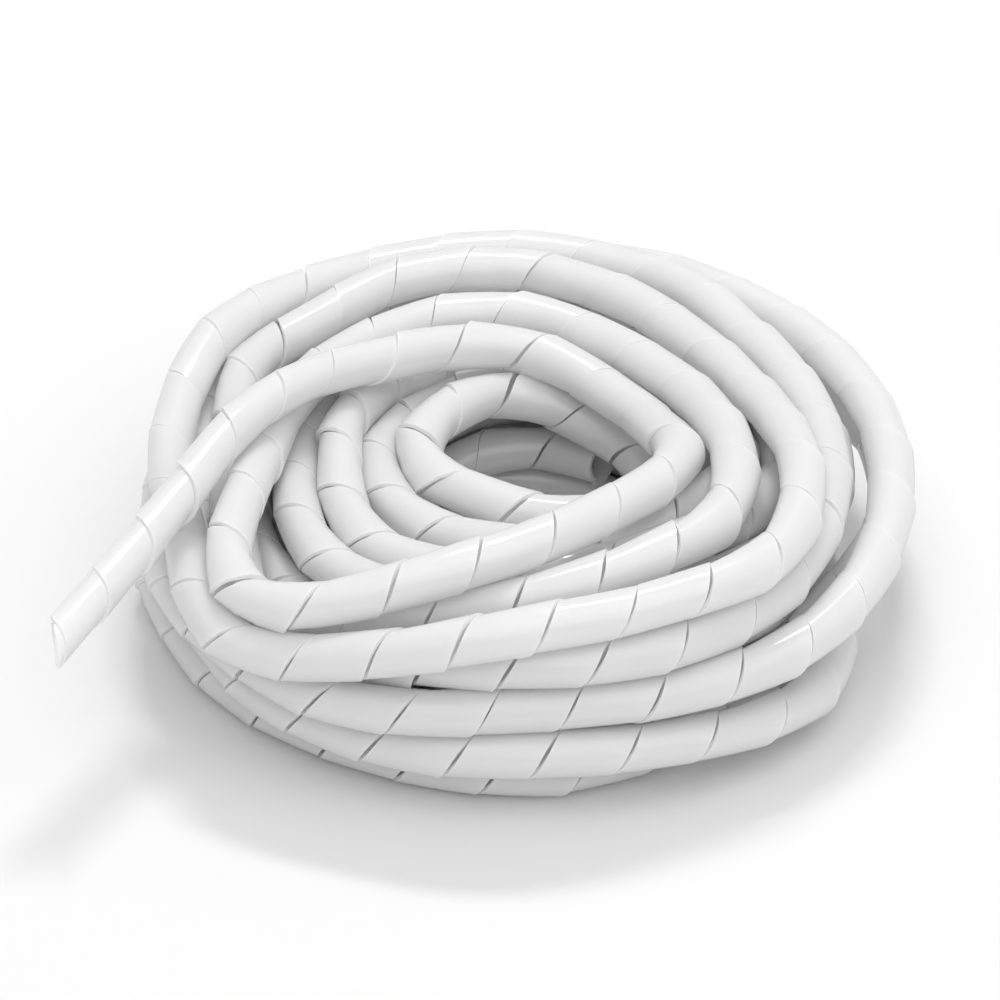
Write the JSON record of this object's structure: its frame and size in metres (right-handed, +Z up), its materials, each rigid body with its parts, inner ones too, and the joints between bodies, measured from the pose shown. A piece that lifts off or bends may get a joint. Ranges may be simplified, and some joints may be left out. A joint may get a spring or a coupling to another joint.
{
  "type": "spiral cable wrap",
  "caption": "Natural polyethylene spiral wrap for bundling cables: a slit tube wound as a loose flat coil, with one free tail.",
  "frame": {"origin": "on the floor, under the middle of the box of the coil and its tail", "axes": "+Z up along the coil's axis; +X across the coil, away from the side that the tail leaves on; +Y across the coil, away from the tail's tip"},
  "size_m": [0.1892, 0.172, 0.0508],
  "materials": {
    "polyethylene": "natural milky white, slightly see-through, with a soft waxy gloss"
  },
  "bodies": {
    "root": {"spiral_wrap": "polyethylene"}
  },
  "joints": []
}
